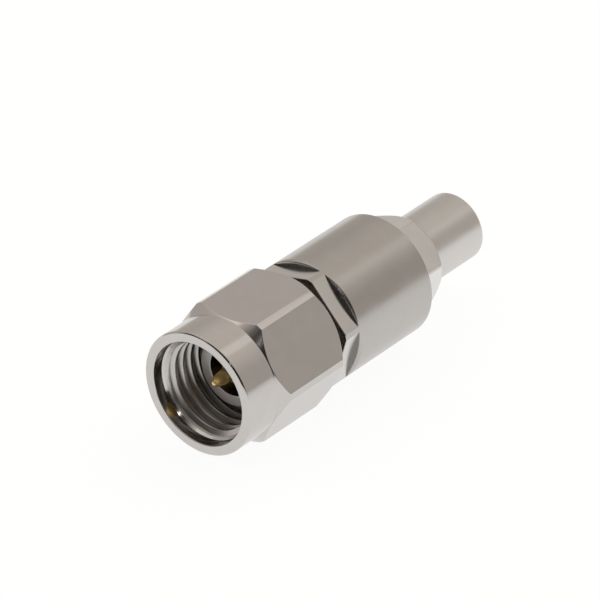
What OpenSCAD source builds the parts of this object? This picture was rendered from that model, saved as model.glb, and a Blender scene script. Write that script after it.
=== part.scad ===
// Coaxial adapter: a threaded 2.92 mm plug at the front and a push-on SSMP plug at the rear.
// The axis is X. The mating plane of the threaded plug is at X = 0, its mouth faces -X, and the
// adapter lies with a flat of its coupling nut level below, +Z up.

/* [Coupling nut] */
// Across the flats of the nut's hexagon
nut_af = 8; // [7.4:0.05:8.6]
// Turned diameter that trims the hexagon's corners
nut_corner_d = 9; // [8.4:0.05:9.2]
// Diameter of the round ring ahead of the hexagon
nut_ring_d = 7.9; // [7.4:0.05:7.95]
// Length of the round ring
nut_ring_len = 2.45; // [2:0.05:3.2]
// Diameter of the nut's rear face, where its corner chamfer ends
nut_rear_d = 7.8; // [7.2:0.05:8]
// Diameter of the smooth mouth ahead of the thread
nut_mouth_d = 6.68; // [6.6:0.02:7]
// Depth of the smooth mouth
nut_mouth_depth = 0.6; // [0.4:0.05:0.9]
// Width of the edge break round the nut's front face
nut_edge = 0.08; // [0.05:0.01:0.2]
// How far the nut reaches ahead of the mating plane
nut_reach = 2.92; // [2.5:0.02:3.3]
// Length of the bearing lip at the nut's rear
nut_lip_len = 1.62; // [1.2:0.02:2]
// Angle of the nut's corners, measured from straight up
nut_turn = 30; // [0:1:60]

/* [Coupling thread] */
// Major diameter of the coupling thread
thread_d = 6.36; // [6.35:0.01:6.5]
// Length of the threaded stretch
thread_len = 3.7; // [3:0.05:4.5]
// Axial depth of the countersink that leads into the thread
thread_lead = 0.12; // [0.05:0.01:0.3]
// Length of the plain land behind the thread
thread_land = 1.5; // [1:0.05:2]

/* [Retaining ring] */
// Thickness of the snap ring along the axis
ring_thick = 0.45; // [0.35:0.01:0.55]
// Depth to which the snap ring sits below the journal
ring_bite = 0.4; // [0.3:0.01:0.5]
// How far the snap ring stands out of the journal
ring_stand = 0.38; // [0.3:0.01:0.5]
// Opening of the snap ring
ring_gap = 1.2; // [0.8:0.05:2]
// End float that the snap ring allows the nut
nut_float = 0.4; // [0.2:0.02:0.5]

/* [Main body] */
// Outside diameter of the outer conductor's nose
nose_d = 4.5; // [4.2:0.05:4.8]
// Length of the nose behind the mating plane
nose_len = 2.2; // [1.6:0.05:2.6]
// Bore of the front air line
line_d = 2.92; // [2.6:0.01:3.2]
// Diameter of the journal that the nut turns on
journal_d = 5.5; // [5.3:0.05:5.6]
// Gap between the nut's rear face and the wrench flats
nut_gap = 0.5; // [0.42:0.02:0.8]
// Across the wrench flats behind the nut
body_af = 7; // [6.6:0.05:7.4]
// Length of the wrench flats
body_hex_len = 1.25; // [0.8:0.05:1.6]
// Angle of the wrench flats' corners, measured from straight up
body_turn = 17; // [0:1:60]
// Diameter of the barrel
barrel_d = 7.9; // [7.6:0.05:8]
// Length of the barrel
barrel_len = 6.9; // [6:0.02:8]
// Width of the barrel's edge breaks
barrel_edge = 0.12; // [0.05:0.01:0.25]

/* [Rear body] */
// Diameter of the shank that screws into the barrel
shank_d = 4.8; // [4.4:0.05:5.2]
// Length of the shank
shank_len = 4.6; // [4:0.05:5.2]
// Across the flats of the rear hexagon
rear_af = 5.5; // [5.2:0.05:5.8]
// Turned diameter that trims the rear hexagon's corners
rear_corner_d = 6.28; // [5.9:0.02:6.4]
// Diameter of the rear hexagon's back face, where its corner chamfer ends
rear_face_d = 5.4; // [5:0.05:5.8]
// Length of the rear hexagon
rear_hex_len = 2.45; // [2:0.05:3]
// Outside diameter of the SSMP shroud
shroud_d = 4.4; // [4:0.05:4.8]
// Length of the SSMP shroud
shroud_len = 4.85; // [4.4:0.05:5.6]
// Width of the edge break round the shroud's rim
shroud_edge = 0.12; // [0.05:0.01:0.2]
// Bore of the rear air line
rear_line_d = 1.42; // [1.2:0.01:1.6]

/* [SSMP socket] */
// Diameter of the socket's entry
entry_d = 2.8; // [2.7:0.02:3]
// Length of the socket's entry
entry_len = 0.5; // [0.4:0.02:0.7]
// Width of the lead-in chamfer at the rim
entry_lead = 0.15; // [0.1:0.01:0.25]
// Diameter of the detent ridge
detent_d = 2.44; // [2.3:0.02:2.6]
// Length of the detent ridge
detent_len = 0.3; // [0.2:0.02:0.5]
// Diameter of the socket behind the detent ridge
socket_d = 2.6; // [2.5:0.02:2.7]
// Depth of the socket from its rim
socket_depth = 2.6; // [2.2:0.05:3]

/* [Inner conductors] */
// Diameter of the front inner conductor
inner_d = 1.27; // [1.1:0.01:1.4]
// Diameter of the front contact pin
pin_d = 0.92; // [0.85:0.01:1]
// How far the front pin's tip reaches ahead of the mating plane
pin_reach = 1.5; // [1.2:0.02:1.8]
// Length of the taper at the front pin's tip
pin_taper = 0.95; // [0.6:0.05:1.1]
// Diameter of the front pin's tip
pin_tip_d = 0.32; // [0.2:0.02:0.5]
// Recess of the front pin's shoulder behind the mating plane
pin_recess = 0.06; // [0.02:0.01:0.15]
// Diameter of the front conductor's neck inside the bead
neck_d = 0.84; // [0.7:0.02:1]
// Diameter of the stub that joins the rear conductor to the front one
stub_d = 0.4; // [0.3:0.02:0.5]
// Length of that stub
stub_len = 1; // [0.6:0.05:1.3]
// Diameter of the rear inner conductor
rear_inner_d = 0.62; // [0.56:0.02:0.64]
// Diameter of the rear conductor where the insulator holds it
rear_seat_d = 0.66; // [0.64:0.02:0.8]
// Diameter of the SSMP contact pin
rear_pin_d = 0.3; // [0.26:0.02:0.36]
// Diameter of the SSMP pin's tip
rear_pin_tip_d = 0.14; // [0.08:0.02:0.24]
// Depth of the SSMP pin's tip below the rim
rear_pin_recess = 0.8; // [0.75:0.05:1.2]
// Length of the taper at the SSMP pin's tip
rear_pin_taper = 0.25; // [0.1:0.05:0.4]

/* [Insulators] */
// Diameter of the front support bead
bead_d = 3.9; // [3.4:0.05:4.2]
// Length of the front support bead
bead_len = 1.5; // [1.2:0.05:2]
// Diameter of the SSMP insulator
insulator_d = 2.2; // [2:0.02:2.4]
// Length of the SSMP insulator
insulator_len = 1.5; // [1.2:0.05:2]

/* [Clearances] */
// Radial running clearance of the nut on its journal
run_gap = 0.04; // [0.02:0.01:0.08]
// Clearance of pieces that are pressed or clamped together
seat_gap = 0.02; // [0.01:0.005:0.04]
// Clearance round the snap ring in its grooves
ring_play = 0.05; // [0.03:0.01:0.08]

/* [Hidden] */
round_sides = 96;
hex_sides = 6;
steel = [0.66, 0.64, 0.61];
spring_steel = [0.55, 0.55, 0.56];
gold = [0.83, 0.63, 0.28];
bead_resin = [0.85, 0.78, 0.62];
white_resin = [0.93, 0.92, 0.89];
cutter_margin = 4;
cutter_d = max(nut_corner_d, barrel_d) + cutter_margin;

// Snap ring and its two grooves
ring_inner_r = journal_d / 2 - ring_bite;
ring_outer_r = journal_d / 2 + ring_stand;
groove_floor_r = ring_inner_r - ring_play;
groove_len = ring_thick + ring_play;
chamber_r = ring_outer_r + ring_play;
chamber_len = groove_len + nut_float;

// Stations of the nut along X
nut_front = -nut_reach;
mouth_end = nut_front + nut_mouth_depth;
thread_start = mouth_end + thread_lead;
thread_end = thread_start + thread_len;
chamber_start = thread_end + thread_land;
chamber_end = chamber_start + chamber_len;
nut_rear = chamber_end + nut_lip_len;
nut_ring_end = nut_front + nut_ring_len;

// Stations of the main body
groove_start = chamber_end - groove_len;
body_hex_start = nut_rear + nut_gap;
body_hex_end = body_hex_start + body_hex_len;
barrel_end = body_hex_end + barrel_len;
shank_start = barrel_end - shank_len;
bead_start = shank_start - bead_len;

// Stations of the rear body and its socket
rear_hex_end = barrel_end + rear_hex_len;
rim = rear_hex_end + shroud_len;
entry_end = rim - entry_lead;
entry_start = entry_end - entry_len;
detent_front = entry_start - (entry_d - detent_d) / 2;
detent_back = detent_front - detent_len;
socket_end = detent_back - (socket_d - detent_d) / 2;
socket_floor = rim - socket_depth;
insulator_start = socket_floor - insulator_len;

// Corner radius of a hexagon from the size across its flats
function corner_r(af) = af / 2 / cos(180 / hex_sides);

// A solid of revolution about X from a closed outline of [x, radius] points
module turned(outline) {
    rotate([0, 90, 0])
        rotate_extrude($fn = round_sides)
            polygon([for (p = outline) [p[1], p[0]]]);
}

// The metal that milling takes off between two stations to leave a hexagon
module hex_milling(af, turn, from, to) {
    rotate([0, 90, 0])
        translate([0, 0, from])
            linear_extrude(to - from)
                difference() {
                    circle(d = cutter_d, $fn = round_sides);
                    rotate(turn) circle(r = corner_r(af), $fn = hex_sides);
                }
}

// Nut: round ring, chamfered hexagon, smooth mouth, thread, ring chamber and bearing lip
module coupling_nut() {
    ring_r = nut_ring_d / 2;
    corner_cut_r = nut_corner_d / 2;
    front_rise = corner_cut_r - ring_r;
    rear_fall = corner_cut_r - nut_rear_d / 2;
    mouth_r = nut_mouth_d / 2;
    thread_r = thread_d / 2;
    lip_r = journal_d / 2 + run_gap;
    color(steel)
        difference() {
            turned([
                [nut_front, mouth_r],
                [nut_front, ring_r - nut_edge],
                [nut_front + nut_edge, ring_r],
                [nut_ring_end, ring_r],
                [nut_ring_end + front_rise, corner_cut_r],
                [nut_rear - rear_fall, corner_cut_r],
                [nut_rear, nut_rear_d / 2],
                [nut_rear, lip_r],
                [chamber_end, lip_r],
                [chamber_end, chamber_r],
                [chamber_start, chamber_r],
                [chamber_start, lip_r],
                [thread_end, lip_r],
                [thread_end, thread_r],
                [thread_start, thread_r],
                [mouth_end, mouth_r]
            ]);
            hex_milling(nut_af, nut_turn, nut_ring_end, nut_rear + nut_gap);
        }
}

// Split snap ring that holds the nut on the body
module retaining_ring() {
    ring_end = chamber_end - ring_play / 2;
    ring_start = ring_end - ring_thick;
    color(spring_steel)
        difference() {
            turned([
                [ring_start, ring_inner_r],
                [ring_start, ring_outer_r],
                [ring_end, ring_outer_r],
                [ring_end, ring_inner_r]
            ]);
            translate([ring_start - cutter_margin, -ring_gap / 2, 0])
                cube([ring_thick + 2 * cutter_margin, ring_gap, ring_outer_r + cutter_margin]);
        }
}

// Main body: outer conductor nose, journal with its groove, wrench flats, barrel and rear socket
module main_body() {
    nose_r = nose_d / 2;
    journal_r = journal_d / 2;
    barrel_r = barrel_d / 2;
    line_r = line_d / 2;
    color(steel)
        difference() {
            turned([
                [0, line_r],
                [0, nose_r - barrel_edge],
                [barrel_edge, nose_r],
                [nose_len, nose_r],
                [nose_len, journal_r],
                [groove_start, journal_r],
                [groove_start, groove_floor_r],
                [chamber_end, groove_floor_r],
                [chamber_end, journal_r],
                [body_hex_start, journal_r],
                [body_hex_start, barrel_r - barrel_edge],
                [body_hex_start + barrel_edge, barrel_r],
                [barrel_end - barrel_edge, barrel_r],
                [barrel_end, barrel_r - barrel_edge],
                [barrel_end, shank_d / 2 + seat_gap],
                [shank_start, shank_d / 2 + seat_gap],
                [shank_start, bead_d / 2 + seat_gap],
                [bead_start, bead_d / 2 + seat_gap],
                [bead_start, line_r]
            ]);
            hex_milling(body_af, body_turn, body_hex_start - nut_gap, body_hex_end);
        }
}

// Rear body: threaded shank, hexagon, and the smooth shroud with its detent socket
module ssmp_shroud() {
    corner_cut_r = rear_corner_d / 2;
    face_r = rear_face_d / 2;
    shroud_r = shroud_d / 2;
    shank_r = shank_d / 2;
    rear_line_r = rear_line_d / 2;
    color(steel)
        difference() {
            turned([
                [shank_start, rear_line_r],
                [shank_start, shank_r - barrel_edge],
                [shank_start + barrel_edge, shank_r],
                [barrel_end, shank_r],
                [barrel_end, corner_cut_r],
                [rear_hex_end - (corner_cut_r - face_r), corner_cut_r],
                [rear_hex_end, face_r],
                [rear_hex_end, shroud_r],
                [rim - shroud_edge, shroud_r],
                [rim, shroud_r - shroud_edge],
                [rim, entry_d / 2 + entry_lead],
                [entry_end, entry_d / 2],
                [entry_start, entry_d / 2],
                [detent_front, detent_d / 2],
                [detent_back, detent_d / 2],
                [socket_end, socket_d / 2],
                [socket_floor, socket_d / 2],
                [socket_floor, insulator_d / 2 + seat_gap],
                [insulator_start, insulator_d / 2 + seat_gap],
                [insulator_start, rear_line_r]
            ]);
            hex_milling(rear_af, body_turn, barrel_end, rear_hex_end);
        }
}

// Front inner conductor with its tapered contact pin and the neck that the bead holds
module front_pin() {
    taper_end = -pin_reach + pin_taper;
    neck_end = shank_start + seat_gap;
    stub_hole_r = stub_d / 2 + seat_gap;
    stub_floor = neck_end - stub_len - seat_gap;
    color(gold)
        turned([
            [-pin_reach, 0],
            [-pin_reach, pin_tip_d / 2],
            [taper_end, pin_d / 2],
            [pin_recess, pin_d / 2],
            [pin_recess, inner_d / 2],
            [bead_start, inner_d / 2],
            [bead_start, neck_d / 2],
            [neck_end, neck_d / 2],
            [neck_end, stub_hole_r],
            [stub_floor, stub_hole_r],
            [stub_floor, 0]
        ]);
}

// Bead that carries the inner conductors where the two bodies meet
module support_bead() {
    color(bead_resin)
        turned([
            [bead_start + seat_gap, neck_d / 2 + seat_gap],
            [bead_start + seat_gap, bead_d / 2],
            [shank_start - seat_gap, bead_d / 2],
            [shank_start - seat_gap, neck_d / 2 + seat_gap]
        ]);
}

// Rear inner conductor: stub, conductor and the thin SSMP contact pin
module rear_pin() {
    shoulder = shank_start + 2 * seat_gap;
    tip = rim - rear_pin_recess;
    color(gold)
        turned([
            [shoulder - stub_len, 0],
            [shoulder - stub_len, stub_d / 2],
            [shoulder, stub_d / 2],
            [shoulder, rear_inner_d / 2],
            [insulator_start, rear_inner_d / 2],
            [insulator_start, rear_seat_d / 2],
            [socket_floor, rear_seat_d / 2],
            [socket_floor, rear_pin_d / 2],
            [tip - rear_pin_taper, rear_pin_d / 2],
            [tip, rear_pin_tip_d / 2],
            [tip, 0]
        ]);
}

// Insulator at the bottom of the SSMP socket
module ssmp_insulator() {
    color(white_resin)
        turned([
            [insulator_start + seat_gap, rear_seat_d / 2 + seat_gap],
            [insulator_start + seat_gap, insulator_d / 2],
            [socket_floor, insulator_d / 2],
            [socket_floor, rear_seat_d / 2 + seat_gap]
        ]);
}

coupling_nut();
retaining_ring();
main_body();
ssmp_shroud();
front_pin();
support_bead();
rear_pin();
ssmp_insulator();
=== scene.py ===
import math
import bmesh
import bpy
from mathutils import Matrix, Vector


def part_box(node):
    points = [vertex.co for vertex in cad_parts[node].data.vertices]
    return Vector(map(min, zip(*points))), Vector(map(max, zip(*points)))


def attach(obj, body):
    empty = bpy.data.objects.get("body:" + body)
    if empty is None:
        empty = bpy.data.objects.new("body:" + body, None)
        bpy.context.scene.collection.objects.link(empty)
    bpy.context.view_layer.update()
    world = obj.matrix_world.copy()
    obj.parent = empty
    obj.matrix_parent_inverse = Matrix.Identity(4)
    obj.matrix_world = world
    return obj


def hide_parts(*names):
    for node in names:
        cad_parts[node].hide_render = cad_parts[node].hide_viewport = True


# Coaxial adapter: turned stainless bodies, a threaded coupling nut and gold contacts on a white table.
# Sizes are in millimetres and angles in degrees, measured round the axis from straight up towards -Y.
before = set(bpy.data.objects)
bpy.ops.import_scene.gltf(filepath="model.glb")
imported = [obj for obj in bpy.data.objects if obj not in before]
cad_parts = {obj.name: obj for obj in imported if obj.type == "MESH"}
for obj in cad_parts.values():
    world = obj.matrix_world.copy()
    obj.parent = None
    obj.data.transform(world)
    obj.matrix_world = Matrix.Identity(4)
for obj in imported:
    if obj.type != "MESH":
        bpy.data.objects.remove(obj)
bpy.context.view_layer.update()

MM = 0.001
X, Y, Z = range(3)
FULL_TURN = 360
HEX_CORNERS = 6
HEX_STEP = FULL_TURN / HEX_CORNERS
BOX_DIGITS = 2


def span(node, axis):
    """Where a solid starts and ends along an axis."""
    low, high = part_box(node)
    return round(low[axis] / MM, BOX_DIGITS), round(high[axis] / MM, BOX_DIGITS)


# Stations and diameters that the solids give
nut_front, nut_rear = span("coupling_nut", X)
nut_af = 2 * span("coupling_nut", Z)[1]
nut_corner_r = span("coupling_nut", Y)[1]
mating_plane, barrel_end = span("main_body", X)
barrel_r = span("main_body", Y)[1]
shank_start, rim = span("ssmp_shroud", X)
pin_tip, neck_end = span("front_pin", X)
rear_pin_start, rear_pin_tip = span("rear_pin", X)
socket_floor = span("ssmp_insulator", X)[1]
table_z = span("coupling_nut", Z)[0]

# Coupling nut
nut_ring_r = 3.95
nut_ring_len = 2.45
nut_rear_r = 3.9
nut_mouth_r = 3.31
nut_mouth_depth = 0.6
nut_edge_r, nut_edge_len = 0.1, 0.075
nut_turn = 30
nut_lip_r = 2.79
nut_lip_len = 1.62
chamber_r = 3.18
chamber_len = 0.9
mouth_end = nut_front + nut_mouth_depth
nut_ring_end = nut_front + nut_ring_len
chamber_end = nut_rear - nut_lip_len
chamber_start = chamber_end - chamber_len

# Coupling thread, right-handed, with a countersink that the tapering wall of the mouth leads to
inch = 25.4
turns_to_the_inch = 36
thread_pitch = inch / turns_to_the_inch
thread_major_r = 3.18
thread_minor_r = 2.83
thread_root_flat = 0.09
thread_flank_angle = 30
thread_lead = 0.12
thread_len = 3.7
thread_steps = 24
countersink_r = 3.255
countersink_angle = 45
countersink_setback = 0.085
thread_end = mouth_end + thread_lead + thread_len
countersink_start = mouth_end + countersink_setback
thread_start = countersink_start + thread_lead
flank_len = (thread_major_r - thread_minor_r) * math.tan(math.radians(thread_flank_angle))

# Main body
nose_r = 2.25
nose_len = 2.2
line_r = 1.46
journal_r = 2.75
groove_len = 0.5
groove_floor_r = 2.3
nut_gap = 0.5
body_af = 7.0
body_turn = 17
body_hex_len = 1.2
edge_break = 0.12
flat_edge = 0.03
step_round = 0.3
bead_len = 1.5
bead_seat_r = 1.97
shank_seat_r = 2.42
groove_start = chamber_end - groove_len
body_hex_start = nut_rear + nut_gap
body_hex_end = body_hex_start + body_hex_len
bead_start = shank_start - bead_len

# Rear body and its socket
shank_r = 2.4
rear_af = 5.5
rear_corner_r = 3.14
rear_face_r = 2.7
rear_hex_len = 2.45
shroud_r = 2.2
rear_line_r = 0.71
entry_r, entry_len = 1.4, 0.5
entry_lead = 0.15
detent_r, detent_len = 1.22, 0.3
socket_r = 1.3
insulator_len = 1.5
insulator_seat_r = 1.12
rear_hex_end = barrel_end + rear_hex_len
entry_end = rim - entry_lead
entry_start = entry_end - entry_len
detent_front = entry_start - entry_r + detent_r
detent_back = detent_front - detent_len
socket_end = detent_back - socket_r + detent_r
insulator_start = socket_floor - insulator_len

# Inner conductors
pin_r, pin_tip_r = 0.46, 0.12
pin_taper = 0.95
pin_nose_r, pin_nose_len = 0.34, 0.36
pin_recess = 0.06
inner_r = 0.635
neck_r = 0.42
stub_r, stub_hole_r = 0.2, 0.22
stub_len, stub_hole_len = 1.0, 1.02
rear_inner_r = 0.31
rear_seat_r = 0.33
rear_pin_r, rear_pin_tip_r = 0.15, 0.07
rear_pin_taper = 0.25

# Fillets and fineness of the meshes
crisp_fillet = 0.015
edge_fillet = 0.04
soft_fillet = 0.07
tip_fillet = 0.08
nose_fillet = 0.3
fillet_share = 0.45
fillet_steps = 4
land_steps, flat_steps = 4, 42
round_steps = 128
weld_distance = 1e-7
sharp_angle = 24
flat_tolerance = 1e-3

# Numbers of a piece's materials, in the order in which lathe takes them
TURNED, FLATS = 0, 1
THREAD = 2
NOSE, STEP = 2, 3


def hex_radius(angle, across_flats, turn):
    """Radius of a hexagon's outline at an angle, with its corners at turn and every 60 degrees on."""
    from_flat = (angle - turn) % HEX_STEP - HEX_STEP / 2
    return across_flats / 2 / math.cos(math.radians(from_flat))


def hex_angles(across_flats, trim_r, turn):
    """Columns round a hexagon with turned corners, one of them on each edge of the corner lands."""
    half_land = HEX_STEP / 2 - math.degrees(math.acos(across_flats / 2 / trim_r))
    flat = HEX_STEP - 2 * half_land
    angles = []
    for corner in range(HEX_CORNERS):
        centre = turn + HEX_STEP * corner
        angles += [centre + half_land * (2 * i / land_steps - 1) for i in range(land_steps)]
        angles += [centre + half_land + flat * i / flat_steps for i in range(flat_steps)]
    return angles


def round_angles():
    """Columns round a plain turned piece."""
    return [FULL_TURN * i / round_steps for i in range(round_steps)]


def rounded(corners):
    """A closed outline from corners of (x, radius, fillet), with the fillets drawn as curves."""
    points = []
    for i, (x, r, fillet) in enumerate(corners):
        here = Vector((x, r))
        if not fillet:
            points.append(here)
            continue
        before = Vector(corners[i - 1][:2]) - here
        after = Vector(corners[(i + 1) % len(corners)][:2]) - here
        reach = min(fillet, fillet_share * before.length, fillet_share * after.length)
        start = here + before.normalized() * reach
        end = here + after.normalized() * reach
        for step in range(fillet_steps + 1):
            t = step / fillet_steps
            points.append((1 - t) ** 2 * start + 2 * t * (1 - t) * here + t ** 2 * end)
    return points


def lathe(name, angles, corners_at, materials, finish=None):
    """A closed solid whose outline at each angle is given by corners_at. Finish gives the number of a
    face's material from its centre and normal."""
    bm = bmesh.new()
    columns = []
    for angle in [*angles, angles[0] + FULL_TURN]:
        sine, cosine = math.sin(math.radians(angle)), math.cos(math.radians(angle))
        outline = rounded(corners_at(angle))
        columns.append([bm.verts.new((x * MM, -r * sine * MM, r * cosine * MM)) for x, r in outline])
    for left, right in zip(columns, columns[1:]):
        for j in range(len(left)):
            bm.faces.new((left[j - 1], left[j], right[j], right[j - 1]))
    bmesh.ops.remove_doubles(bm, verts=bm.verts, dist=weld_distance)
    bmesh.ops.dissolve_degenerate(bm, edges=bm.edges, dist=weld_distance)
    bmesh.ops.recalc_face_normals(bm, faces=bm.faces)
    for face in bm.faces:
        face.smooth = True
        if finish:
            face.material_index = finish(face.calc_center_median(), face.normal)
    mesh = bpy.data.meshes.new(name)
    bm.to_mesh(mesh)
    bm.free()
    for material in materials:
        mesh.materials.append(material)
    mesh.set_sharp_from_angle(angle=math.radians(sharp_angle))
    piece = bpy.data.objects.new(name, mesh)
    bpy.context.scene.collection.objects.link(piece)
    even = piece.modifiers.new("even_normals", "WEIGHTED_NORMAL")
    even.keep_sharp = True
    return piece


def flats_finish(centre, normal, across_flats):
    """The flats of a hexagon are milled, and the rest is turned."""
    reach = centre.dot(normal) / MM
    on_flat = abs(reach - across_flats / 2) < flat_tolerance and abs(normal.x) < flat_tolerance
    return FLATS if on_flat else TURNED


def nut_finish(centre, normal):
    """The nut has milled flats and a cut thread."""
    if centre.x > thread_start * MM and centre.yz.length < (thread_major_r + flat_tolerance) * MM:
        return THREAD
    return flats_finish(centre, normal, nut_af)


def body_finish(centre, normal):
    """The body has milled flats, a paler nose, and a step behind the flats painted dark grey as shade."""
    if centre.x < nose_len * MM and centre.yz.length > (line_r + edge_fillet) * MM:
        return NOSE
    # The step behind the flats faces the nut; its dark grey colour is painted shade
    if abs(centre.x - body_hex_end * MM) < flat_tolerance * MM and normal.x < -1 + flat_tolerance:
        return STEP
    return flats_finish(centre, normal, body_af)


def shroud_finish(centre, normal):
    """The rear body has milled flats."""
    return flats_finish(centre, normal, rear_af)


def thread_radius(x, angle):
    """Radius of the threaded wall at a station and an angle."""
    turns = (x - mouth_end) / thread_pitch - angle / FULL_TURN
    from_root = thread_pitch * min(turns % 1, 1 - turns % 1)
    up_flank = (from_root - thread_root_flat / 2) / flank_len
    return thread_major_r + (thread_minor_r - thread_major_r) * min(max(up_flank, 0), 1)


def thread_corners(angle):
    """Section of the thread at an angle, from its end back to the countersink behind the mouth."""
    first_root = mouth_end + thread_pitch * angle / FULL_TURN
    turns = math.ceil((thread_end - mouth_end) / thread_pitch) + 1
    corners = []
    for step in range(turns * thread_steps, -turns * thread_steps, -1):
        x = first_root + thread_pitch * step / thread_steps
        x = min(max(x, countersink_start), thread_end)
        cone_r = countersink_r - (x - countersink_start) * math.tan(math.radians(countersink_angle))
        corners.append((x, max(thread_radius(x, angle), cone_r), 0))
    return corners


def nut_corners(angle):
    """Section of the coupling nut, from its front face round the outside and back through the bore."""
    hex_r = min(nut_corner_r, hex_radius(angle, nut_af, nut_turn))
    return [
        (nut_front, nut_mouth_r, soft_fillet),
        (nut_front, nut_ring_r - nut_edge_r, crisp_fillet),
        (nut_front + nut_edge_len, nut_ring_r, edge_fillet),
        (nut_ring_end, nut_ring_r, edge_fillet),
        (nut_ring_end + hex_r - nut_ring_r, hex_r, edge_fillet),
        (nut_rear - hex_r + nut_rear_r, hex_r, edge_fillet),
        (nut_rear, nut_rear_r, edge_fillet),
        (nut_rear, nut_lip_r, edge_fillet),
        (chamber_end, nut_lip_r, edge_fillet),
        (chamber_end, chamber_r, 0),
        (chamber_start, chamber_r, 0),
        (chamber_start, nut_lip_r, 0),
        (thread_end, nut_lip_r, 0),
        *thread_corners(angle),
    ]


def body_corners(angle):
    """Section of the main body: nose, journal with the snap ring's groove, wrench flats, barrel and bore."""
    hex_r = min(barrel_r, hex_radius(angle, body_af, body_turn))
    step_break = step_round * (barrel_r - hex_r)
    return [
        (mating_plane, line_r, edge_fillet),
        (mating_plane, nose_r - edge_break, edge_fillet),
        (mating_plane + edge_break, nose_r, edge_fillet),
        (nose_len, nose_r, 0),
        (nose_len, journal_r, edge_fillet),
        (groove_start, journal_r, 0),
        (groove_start, groove_floor_r, 0),
        (chamber_end, groove_floor_r, 0),
        (chamber_end, journal_r, 0),
        (body_hex_start, journal_r, 0),
        (body_hex_start, hex_r - flat_edge, edge_fillet),
        (body_hex_start + flat_edge, hex_r, edge_fillet),
        (body_hex_end, hex_r, 0),
        (body_hex_end, barrel_r - step_break, soft_fillet),
        (body_hex_end + step_break, barrel_r, soft_fillet),
        (barrel_end - edge_break, barrel_r, crisp_fillet),
        (barrel_end, barrel_r - edge_break, crisp_fillet),
        (barrel_end, shank_seat_r, 0),
        (shank_start, shank_seat_r, 0),
        (shank_start, bead_seat_r, 0),
        (bead_start, bead_seat_r, 0),
        (bead_start, line_r, 0),
    ]


def shroud_corners(angle):
    """Section of the rear body: shank, hexagon, shroud, and the socket with its detent ridge."""
    hex_r = min(rear_corner_r, hex_radius(angle, rear_af, body_turn))
    return [
        (shank_start, rear_line_r, 0),
        (shank_start, shank_r - edge_break, 0),
        (shank_start + edge_break, shank_r, 0),
        (barrel_end, shank_r, 0),
        (barrel_end, hex_r, 0),
        (rear_hex_end - hex_r + rear_face_r, hex_r, soft_fillet),
        (rear_hex_end, rear_face_r, edge_fillet),
        (rear_hex_end, shroud_r, edge_fillet),
        (rim - edge_break, shroud_r, soft_fillet),
        (rim, shroud_r - edge_break, soft_fillet),
        (rim, entry_r + entry_lead, edge_fillet),
        (entry_end, entry_r, edge_fillet),
        (entry_start, entry_r, edge_fillet),
        (detent_front, detent_r, edge_fillet),
        (detent_back, detent_r, edge_fillet),
        (socket_end, socket_r, edge_fillet),
        (socket_floor, socket_r, 0),
        (socket_floor, insulator_seat_r, 0),
        (insulator_start, insulator_seat_r, 0),
        (insulator_start, rear_line_r, 0),
    ]


def front_pin_corners(_):
    """Section of the front inner conductor, with the rounded contact pin and the hole for the stub."""
    return [
        (pin_tip, 0, 0),
        (pin_tip, pin_tip_r, tip_fillet),
        (pin_tip + pin_nose_len, pin_nose_r, nose_fillet),
        (pin_tip + pin_taper, pin_r, nose_fillet),
        (pin_recess, pin_r, 0),
        (pin_recess, inner_r, edge_fillet),
        (bead_start, inner_r, 0),
        (bead_start, neck_r, 0),
        (neck_end, neck_r, 0),
        (neck_end, stub_hole_r, 0),
        (neck_end - stub_hole_len, stub_hole_r, 0),
        (neck_end - stub_hole_len, 0, 0),
    ]


def rear_pin_corners(_):
    """Section of the rear inner conductor, with its stub in front and the thin contact pin behind."""
    return [
        (rear_pin_start, 0, 0),
        (rear_pin_start, stub_r, 0),
        (rear_pin_start + stub_len, stub_r, 0),
        (rear_pin_start + stub_len, rear_inner_r, 0),
        (insulator_start, rear_inner_r, 0),
        (insulator_start, rear_seat_r, 0),
        (socket_floor, rear_seat_r, 0),
        (socket_floor, rear_pin_r, 0),
        (rear_pin_tip - rear_pin_taper, rear_pin_r, edge_fillet),
        (rear_pin_tip, rear_pin_tip_r, edge_fillet),
        (rear_pin_tip, 0, 0),
    ]


def add(tree, kind, **inputs):
    """A shader node with its inputs set, or linked where the value is a socket. Inputs go by name, or by
    number where the name starts with in."""
    node = tree.nodes.new(kind)
    for name, value in inputs.items():
        socket = node.inputs[int(name[2:])] if name.startswith("in") else node.inputs[name.replace("_", " ")]
        if isinstance(value, bpy.types.NodeSocket):
            tree.links.new(value, socket)
        else:
            socket.default_value = value
    return node


def joined(tree, operation, first, second):
    """Two values brought together, for example as their product or the larger of them."""
    node = add(tree, "ShaderNodeMath", in0=first, in1=second)
    node.operation = operation
    return node.outputs["Value"]


def ramp(tree, factor, low, high):
    """A colour ramp between two colours."""
    node = add(tree, "ShaderNodeValToRGB", Fac=factor)
    node.color_ramp.elements[0].color = (*low, 1)
    node.color_ramp.elements[1].color = (*high, 1)
    return node.outputs["Color"]


def scaled(tree, factor, low, high):
    """A factor from 0 to 1 mapped to a range."""
    node = add(tree, "ShaderNodeMapRange", Value=factor, To_Min=low, To_Max=high)
    return node.outputs["Result"]


def between(tree, value, low, high):
    """A soft step from 0 to 1 as a value goes from low to high."""
    node = add(tree, "ShaderNodeMapRange", Value=value, From_Min=low, From_Max=high)
    node.interpolation_type = "SMOOTHSTEP"
    return node.outputs["Result"]


# Surface of the machined metal: depth of the tool marks, and size and strength of the cloudiness
mark_detail = 2.0
mark_strength = 0.6
mark_depth = 0.0012
cloud_size = 1.1
cloud_detail = 3.0
cloud_tint = 0.05
cloud_gloss = 0.2


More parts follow.
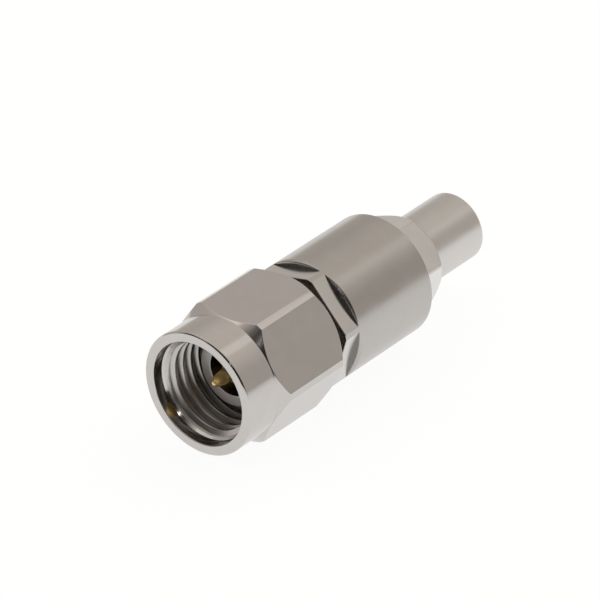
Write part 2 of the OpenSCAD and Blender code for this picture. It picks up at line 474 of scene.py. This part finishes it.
def metal(name, colour, roughness, grain, across=False, metallic=1.0):
    """Machined metal: fine tool marks that run round the axis, or along it for milled flats, with a
    faint cloudiness of colour and gloss. Grain is the spacing of the marks."""
    material = bpy.data.materials.new(name)
    material.use_nodes = True
    tree = material.node_tree
    shader = tree.nodes["Principled BSDF"]
    place = add(tree, "ShaderNodeTexCoord").outputs["Object"]
    parts = add(tree, "ShaderNodeSeparateXYZ", Vector=place).outputs
    off_axis = add(tree, "ShaderNodeCombineXYZ", Y=parts["Y"], Z=parts["Z"]).outputs["Vector"]
    if across:
        marks_at = off_axis
    else:
        radius = add(tree, "ShaderNodeVectorMath", in0=off_axis)
        radius.operation = "LENGTH"
        marks_at = add(
            tree, "ShaderNodeCombineXYZ", X=parts["X"], Y=radius.outputs["Value"]
        ).outputs["Vector"]
    marks = add(tree, "ShaderNodeTexNoise", Vector=marks_at, Scale=1 / (grain * MM), Detail=mark_detail)
    clouds = add(
        tree, "ShaderNodeTexNoise", Vector=place, Scale=1 / (cloud_size * MM), Detail=cloud_detail
    ).outputs["Fac"]
    light = tuple(c * (1 + cloud_tint) for c in colour)
    dark = tuple(c * (1 - cloud_tint) for c in colour)
    gloss = scaled(tree, clouds, roughness * (1 - cloud_gloss), roughness * (1 + cloud_gloss))
    bump = add(
        tree, "ShaderNodeBump",
        Strength=mark_strength, Distance=mark_depth * MM, Height=marks.outputs["Fac"],
    )
    tree.links.new(ramp(tree, clouds, dark, light), shader.inputs["Base Color"])
    tree.links.new(gloss, shader.inputs["Roughness"])
    tree.links.new(bump.outputs["Normal"], shader.inputs["Normal"])
    shader.inputs["Metallic"].default_value = metallic
    return material


# Surface of the moulded insulators
resin_grain = 0.4
resin_detail = 3.0
resin_tint = 0.92
resin_strength = 0.3
resin_depth = 0.004


def resin(name, colour, roughness):
    """Moulded insulator with a faint cloudiness."""
    material = bpy.data.materials.new(name)
    material.use_nodes = True
    tree = material.node_tree
    shader = tree.nodes["Principled BSDF"]
    place = add(tree, "ShaderNodeTexCoord").outputs["Object"]
    clouds = add(
        tree, "ShaderNodeTexNoise", Vector=place, Scale=1 / (resin_grain * MM), Detail=resin_detail
    ).outputs["Fac"]
    dark = tuple(c * resin_tint for c in colour)
    bump = add(tree, "ShaderNodeBump", Strength=resin_strength, Distance=resin_depth * MM, Height=clouds)
    tree.links.new(ramp(tree, clouds, dark, colour), shader.inputs["Base Color"])
    tree.links.new(bump.outputs["Normal"], shader.inputs["Normal"])
    shader.inputs["Roughness"].default_value = roughness
    return material


# Colours, from a dark grey that paints shade on the step behind the flats, then the steels from the darkest
# to the palest, then gold and the insulators
painted_shade_grey = (0.31, 0.298, 0.283)
spring_grey = (0.45, 0.45, 0.46)
satin = (0.52, 0.498, 0.472)
steel = (0.60, 0.576, 0.552)
bright = (0.665, 0.645, 0.62)
semi = (0.70, 0.68, 0.655)
pale = (0.80, 0.785, 0.765)
gold = (1.0, 0.72, 0.3)
amber = (0.68, 0.56, 0.34)
ivory = (0.84, 0.82, 0.77)

# Materials
turned_nut = metal("turned_nut", steel, roughness=0.13, grain=0.06)
milled_nut = metal("milled_nut", steel, roughness=0.22, grain=0.05, across=True)
cut_thread = metal("cut_thread", steel, roughness=0.32, grain=0.06)
satin_barrel = metal("satin_barrel", satin, roughness=0.25, grain=0.05)
milled_body = metal("milled_body", semi, roughness=0.2, grain=0.05, across=True)
turned_nose = metal("turned_nose", pale, roughness=0.35, grain=0.05, metallic=0.5)
# Painted shade: the step behind the flats gets a dark grey material for the shade it lies in
turned_step = metal("turned_step", painted_shade_grey, roughness=0.25, grain=0.05)
turned_shroud = metal("turned_shroud", bright, roughness=0.3, grain=0.06)
milled_shroud = metal("milled_shroud", pale, roughness=0.3, grain=0.05, across=True)
spring_steel = metal("spring_steel", spring_grey, roughness=0.25, grain=0.05)
gold_plate = metal("gold_plate", gold, roughness=0.22, grain=0.05, metallic=0.65)
bead_resin = resin("bead_resin", amber, roughness=0.45)
white_resin = resin("white_resin", ivory, roughness=0.4)

# Pieces that take the place of the solids
nut = lathe(
    "nut_with_thread", hex_angles(nut_af, nut_corner_r, nut_turn), nut_corners,
    [turned_nut, milled_nut, cut_thread], nut_finish,
)
body = lathe(
    "turned_body", hex_angles(body_af, barrel_r, body_turn), body_corners,
    [satin_barrel, milled_body, turned_nose, turned_step], body_finish,
)
shroud = lathe(
    "turned_rear_body", hex_angles(rear_af, rear_corner_r, body_turn), shroud_corners,
    [turned_shroud, milled_shroud], shroud_finish,
)
front_contact = lathe("front_contact", round_angles(), front_pin_corners, [gold_plate])
rear_contact = lathe("rear_contact", round_angles(), rear_pin_corners, [gold_plate])

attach(nut, "nut")
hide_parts("coupling_nut")
for piece, node, slot in (
    (body, "main_body", "stainless"),
    (shroud, "ssmp_shroud", "stainless"),
    (front_contact, "front_pin", "gold"),
    (rear_contact, "rear_pin", "gold"),
):
    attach(piece, "body")
    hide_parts(node)

# Solids that show as they are
for node, material in (
    ("retaining_ring", spring_steel),
    ("support_bead", bead_resin),
    ("ssmp_insulator", white_resin),
):
    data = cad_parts[node].data
    data.materials.clear()
    data.materials.append(material)

# White table: it looks white and takes a faint shadow. The metal mirrors it darker than it looks, with
# painted shade in that mirrored glow: a little more so on the far side of the adapter, as a painted
# shadow, and ever more so towards the near side, as painted fall-off of light.
table_size = 3.0
table_white = (0.9, 0.9, 0.9, 1)
glow_white = (1, 1, 1, 1)
table_glow = 1.14
seen_share = 0.8
# Levels of the mirrored glow are painted shade: lower on the far side as a painted shadow, lower towards the
# near side as painted fall-off
mirrored_near, mirrored_far = 0.74, 0.67
mirrored_reach = 0.02
near_edge, near_start = -0.12, -0.005
near_share = 0.5


def table_material():
    """A mix of a lit white and a glow, whose share depends on how the table is looked at, and in reflections
    also on where, as painted shade.
    """
    material = bpy.data.materials.new("white_table")
    material.use_nodes = True
    tree = material.node_tree
    tree.nodes.clear()
    path = add(tree, "ShaderNodeLightPath").outputs
    seen = joined(tree, "MAXIMUM", path["Is Camera Ray"], path["Is Transmission Ray"])
    place = add(tree, "ShaderNodeNewGeometry").outputs["Position"]
    across = add(tree, "ShaderNodeSeparateXYZ", Vector=place).outputs["Y"]
    # Painted shadow and painted fall-off of light in the glow that the metal mirrors
    painted_shadow_side = between(tree, across, -mirrored_reach, mirrored_reach)
    painted_falloff = add(
        tree, "ShaderNodeMapRange",
        Value=across, From_Min=near_edge, From_Max=near_start, To_Min=near_share, To_Max=1.0,
    ).outputs["Result"]
    level = joined(tree, "MULTIPLY", painted_falloff, scaled(tree, painted_shadow_side, mirrored_near, mirrored_far))
    mirrored = joined(tree, "MULTIPLY", path["Is Glossy Ray"], level)
    share = joined(tree, "MAXIMUM", scaled(tree, seen, 0.0, seen_share), mirrored)
    lit = add(tree, "ShaderNodeBsdfDiffuse", Color=table_white)
    glow = add(tree, "ShaderNodeEmission", Color=glow_white, Strength=table_glow)
    both = add(
        tree, "ShaderNodeMixShader",
        in0=share, in1=lit.outputs["BSDF"], in2=glow.outputs["Emission"],
    )
    add(tree, "ShaderNodeOutputMaterial", Surface=both.outputs["Shader"])
    return material


bpy.ops.mesh.primitive_plane_add(size=table_size, location=(0, 0, table_z * MM))
table = bpy.context.object
table.name = "table"
table.data.materials.append(table_material())

# Studio room: warm grey walls that brighten overhead. It is dark behind the camera, and up to about
# half height in front of the nut. The starts and ends are parts of a direction of length 1.
room_near = (0.505, 0.47, 0.434)
room_far = (0.545, 0.508, 0.472)
room_high = (0.685, 0.64, 0.59)
walls_reach = 0.75
high_start, high_full = 0.38, 0.78
dark_level = 0.06
dark_side = Vector((-0.70, -0.60, 0.39))
side_start, side_full = 0.55, 0.95
front_start, front_full = -0.45, -0.62
low_start, low_full = 0.72, 0.58


def studio_room():
    """The world that lights the adapter and that its metal mirrors."""
    world = bpy.data.worlds.new("studio")
    world.use_nodes = True
    tree = world.node_tree
    tree.nodes.clear()
    direction = add(tree, "ShaderNodeTexCoord").outputs["Generated"]
    along = add(tree, "ShaderNodeSeparateXYZ", Vector=direction).outputs
    walls = ramp(tree, between(tree, along["Y"], -walls_reach, walls_reach), room_near, room_far)
    room = add(
        tree, "ShaderNodeMixRGB",
        Fac=between(tree, along["Z"], high_start, high_full), Color1=walls, Color2=(*room_high, 1),
    )
    facing = add(tree, "ShaderNodeVectorMath", in0=direction, in1=dark_side.normalized())
    facing.operation = "DOT_PRODUCT"
    behind_camera = between(tree, facing.outputs["Value"], side_start, side_full)
    in_front = between(tree, along["X"], front_start, front_full)
    low_down = between(tree, along["Z"], low_start, low_full)
    dark = joined(tree, "MAXIMUM", behind_camera, joined(tree, "MULTIPLY", in_front, low_down))
    shade = scaled(tree, dark, 1.0, dark_level)
    background = add(tree, "ShaderNodeBackground", Color=room.outputs["Color"], Strength=shade)
    add(tree, "ShaderNodeOutputWorld", Surface=background.outputs["Background"])
    return world


bpy.context.scene.world = studio_room()

# Lamps: a strip overhead draws the bright line along the upper side, a window lights the nut's mouth,
# and a small lamp in front puts a spark on the edge of the thread
lamp_distance = 0.5


def area_lamp(name, direction, size, energy):
    """A lamp in a direction from the adapter, turned towards it."""
    light = bpy.data.lights.new(name, "AREA")
    light.shape = "RECTANGLE"
    light.size, light.size_y = size
    light.energy = energy
    lamp = bpy.data.objects.new(name, light)
    towards = Vector(direction).normalized()
    lamp.location = towards * lamp_distance
    lamp.rotation_euler = towards.to_track_quat("Z", "Y").to_euler()
    bpy.context.scene.collection.objects.link(lamp)


area_lamp("strip", direction=(0.65, -0.24, 0.72), size=(0.1, 0.4), energy=0.023)
area_lamp("window", direction=(-0.55, 0.45, 0.7), size=(0.25, 0.25), energy=0.06)
area_lamp("spark", direction=(-0.745, -0.359, 0.562), size=(0.018, 0.018), energy=0.03)

# Camera at the photograph's angle: a long lens, looking down from in front of the nut
azimuth, elevation, roll = -50.53, 31.0, -1.02
distance = 289.4
image_size = 600
focal_pixels = 5000
sensor_width = 36
origin_right, origin_down = -4.076, 4.231
clip_near, clip_far = 0.01, 10
camera = bpy.data.cameras.new("camera")
camera.sensor_width = sensor_width
camera.lens = focal_pixels / image_size * sensor_width
camera.clip_start, camera.clip_end = clip_near, clip_far
viewer = bpy.data.objects.new("camera", camera)
turn, rise, tip = math.radians(azimuth), math.radians(elevation), math.radians(roll)
back = Vector((math.sin(turn) * math.cos(rise), -math.cos(turn) * math.cos(rise), math.sin(rise)))
level = Vector((math.cos(turn), math.sin(turn), 0))
right = level * math.cos(tip) + back.cross(level) * math.sin(tip)
up = back.cross(right)
viewer.location = (origin_down * up - origin_right * right + distance * back) * MM
viewer.rotation_euler = Matrix((right, up, back)).transposed().to_euler()
bpy.context.scene.collection.objects.link(viewer)
bpy.context.scene.camera = viewer

bpy.context.scene.view_settings.view_transform = "Standard"
